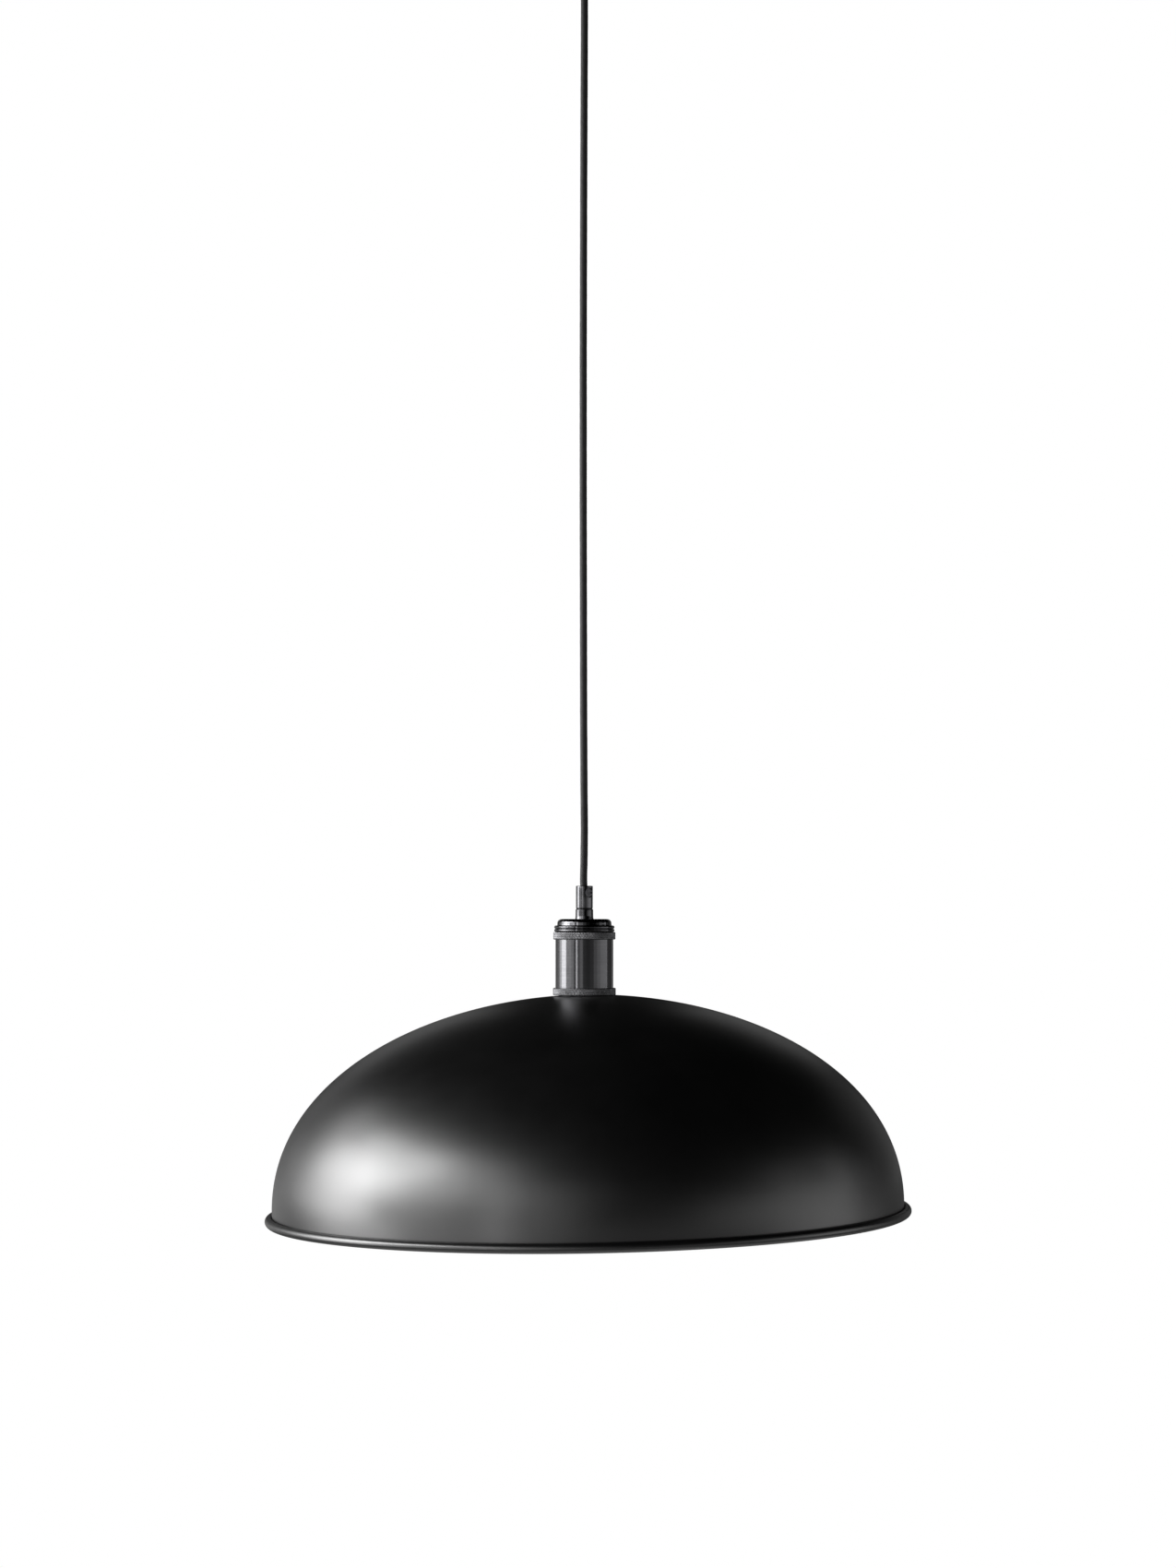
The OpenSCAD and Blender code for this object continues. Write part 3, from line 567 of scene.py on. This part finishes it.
def make_bulb():
    c, r = 60.0, 30.0

    def shoulder(z):
        u = (-z - 8) / (c - 8)
        return 13 + (r - 13) * (3 * u * u - 2 * u ** 3)
    def side(s):
        pts = [(12.3 - s, -3), (12.3 - s, -7.2)]
        pts += [(shoulder(z) - s, z) for z in np.linspace(-8, -c, 40)]
        pts += [((r - s) * math.cos(a), -c - (r - s) * math.sin(a)) for a in np.linspace(0, math.pi / 2, 30)[1:-1]]
        return pts + [(0, -c - r + s)]
    outline = side(0)[::-1] + side(0.8)
    verts, faces = turned(outline, 128)
    v = np.array(verts)
    v[:, 2] += SEAT
    o = add_object("bulb_envelope_glass", v, faces, "bulb_envelope", ["bulb_glass"], MAT["bulb_glass"], 60)

    # coiled filament on its arc
    turns, arc_r, coil = 64, 14.0, 0.42
    pts = []
    for i in range(turns * 12 + 1):
        a = math.pi * i / (turns * 12)
        w = 2 * math.pi * i / 12
        out = np.array([math.cos(a), math.sin(a), 0])
        mid = out * arc_r
        pts.append(mid + coil * (math.cos(w) * out + math.sin(w) * np.array([0, 0, 1])))
    verts, faces = tube(pts, 0.08, 6)
    v = np.array(verts)
    v[:, 2] += SEAT - 58
    add_object("coiled_filament", v, faces, "bulb_base", ["bulb_filament"], MAT["bulb_wire"], 80)


make_bulb()


# ---------------------------------------------------------------- light, backdrop and floor

def softbox(name, place, target, width, height, radiance):
    light = bpy.data.lights.new(name, "AREA")
    light.shape = "RECTANGLE"
    light.size, light.size_y = width, height
    light.energy = radiance * 4 * width * height
    o = bpy.data.objects.new(name, light)
    o.location = place
    o.rotation_euler = (Vector(target) - Vector(place)).to_track_quat("-Z", "Y").to_euler()
    o.visible_camera = False
    scene.collection.objects.link(o)
    return o


seat = SEAT * 0.001
def around_lamp(azimuth, distance, height, width, tall, name, radiance):
    """A softbox facing the shade from an azimuth right (+) or left (-) of the front."""
    a = math.radians(azimuth)
    softbox(name, (distance * math.sin(a), -distance * math.cos(a), seat + height), (0, 0, seat - 0.05), width, tall, radiance)


# a wall of softbox panels round the lamp: azimuth and the brightness of its low, middle and high panel
WALL_PANELS = [
    (-165, 0, 0, 0.39),
    (-150, 0.32, 0.18, 0.25),
    (-135, 0.38, 0.47, 0.19),
    (-120, 0, 1.42, 1.05),
    (-108, 0.86, 3.33, 6.04),
    (-96, 2.77, 6.63, 8.46),
    (-84, 2.81, 6.96, 10.93),
    (-72, 3.62, 0.99, 8.24),
    (-60, 0.92, 1.59, 2.96),
    (-48, 1.53, 0.98, 3.7),
    (-36, 0, 0.1, 0.6),
    (-24, 0.5, 0.3, 1.2),
    (-12, 0.41, 0.86, 0.89),
    (0, 0, 0.06, 0.27),
    (15, 0, 0, 0.05),
    (30, 0, 0.1, 0),
    (45, 0, 0.53, 0),
    (60, 0.1, 0.84, 0.07),
    (75, 0.69, 1.06, 0.53),
    (90, 0.88, 1.1, 0.17),
    (115, 0.26, 0.2, 0),
    (135, 0, 0.14, 0.11),
    (150, 0, 0.18, 0.1),
    (165, 0, 0, 0.34),
]
# large panels above the wall on the left
TOP_PANELS = [
    (-115, 1.9),
    (-90, 7),
    (-65, 8.16),
    (-40, 2.35),
]
for az, *levels in WALL_PANELS:
    wide = 0.42 if -120 <= az <= -12 else 0.53
    for height, label, level in zip((-0.45, 0.05, 0.55), ("low", "middle", "high"), levels):
        if level:
            around_lamp(az, 2.0, height, wide, 0.5, "softbox_%d_%s" % (az, label), level)
for az, level in TOP_PANELS:
    around_lamp(az, 2.0, 1.1, 0.8, 0.55, "softbox_%d_top" % az, level)
around_lamp(-31, 2.0, 0.05, 0.2, 1.4, "left_strip", 4.0)
around_lamp(101, 2.0, 0.05, 0.2, 1.2, "right_strip", 1.4)
# keeps the floor pale; it faces down, so none of it falls straight on the lamp
softbox("floor_light", (0, 0, -2.4), (0, 0, -4.2), 12, 12, 0.65)


def make_world():
    world = bpy.data.worlds.new("studio")
    scene.world = world
    world.use_nodes = True
    nt = world.node_tree
    nt.nodes.clear()
    out = nt.nodes.new("ShaderNodeOutputWorld")
    mix = nt.nodes.new("ShaderNodeMixShader")
    path = nt.nodes.new("ShaderNodeLightPath")
    seen = nt.nodes.new("ShaderNodeBackground")
    seen.inputs["Color"].default_value = (1, 1, 1, 1)
    around = nt.nodes.new("ShaderNodeBackground")
    tc = nt.nodes.new("ShaderNodeTexCoord")
    sep = nt.nodes.new("ShaderNodeSeparateXYZ")
    nt.links.new(tc.outputs["Generated"], sep.inputs["Vector"])
    height = nt.nodes.new("ShaderNodeMapRange")
    for k, v in (("From Min", -1.0), ("From Max", 1.0), ("To Min", 0.0), ("To Max", 1.0)):
        height.inputs[k].default_value = v
    nt.links.new(sep.outputs["Z"], height.inputs["Value"])

    def ramp(stops):
        cr = nt.nodes.new("ShaderNodeValToRGB")
        while len(cr.color_ramp.elements) < len(stops):
            cr.color_ramp.elements.new(0.5)
        for e, (pos, v) in zip(cr.color_ramp.elements, stops):
            e.position = pos
            e.color = (v, v, v, 1)
        nt.links.new(height.outputs["Result"], cr.inputs["Fac"])
        return cr.outputs["Color"]

    # light from the pale floor below the horizon, a dark room above it
    back = ramp([(0, 0.10), (0.31, 0.10), (0.34, 0.07), (0.49, 0.07), (0.51, 0.004), (1, 0.001)])
    front = ramp([(0, 0.05), (0.31, 0.07), (0.36, 0.19), (0.49, 0.21), (0.51, 0.001), (1, 0.0005)])
    side = nt.nodes.new("ShaderNodeMapRange")
    side.interpolation_type = "SMOOTHSTEP"
    for k, v in (("From Min", 0.1), ("From Max", 0.3), ("To Min", 0.0), ("To Max", 1.0)):
        side.inputs[k].default_value = v
    nt.links.new(sep.outputs["Y"], side.inputs["Value"])
    room = nt.nodes.new("ShaderNodeMix")
    room.data_type = "RGBA"
    nt.links.new(side.outputs["Result"], room.inputs[0])
    nt.links.new(front, room.inputs[6])
    nt.links.new(back, room.inputs[7])
    nt.links.new(room.outputs[2], around.inputs["Color"])
    around.inputs["Strength"].default_value = 2.4
    nt.links.new(path.outputs["Is Camera Ray"], mix.inputs["Fac"])
    nt.links.new(around.outputs["Background"], mix.inputs[1])
    nt.links.new(seen.outputs["Background"], mix.inputs[2])
    nt.links.new(mix.outputs["Shader"], out.inputs["Surface"])


make_world()


def make_floor():
    me = bpy.data.meshes.new("studio_floor")
    n = 96
    verts = [(4.5 * math.cos(2 * math.pi * k / n), 4.5 * math.sin(2 * math.pi * k / n), -4.2) for k in range(n)]
    me.from_pydata(verts, [], [tuple(range(n))])
    o = bpy.data.objects.new("studio_floor", me)
    scene.collection.objects.link(o)
    m, nt, b = start_material("pale_floor_paint")
    fac = noise_of(nt, 3, (1, 1, 1), 3)
    nt.links.new(two_colours(nt, fac, (0.86, 0.86, 0.86), (0.9, 0.9, 0.9)), b.inputs["Base Color"])
    b.inputs["Roughness"].default_value = 0.85
    me.materials.append(m)


make_floor()
scene.view_settings.view_transform = "Standard"
scene.view_settings.look = "None"
scene.view_settings.gamma = 0.85
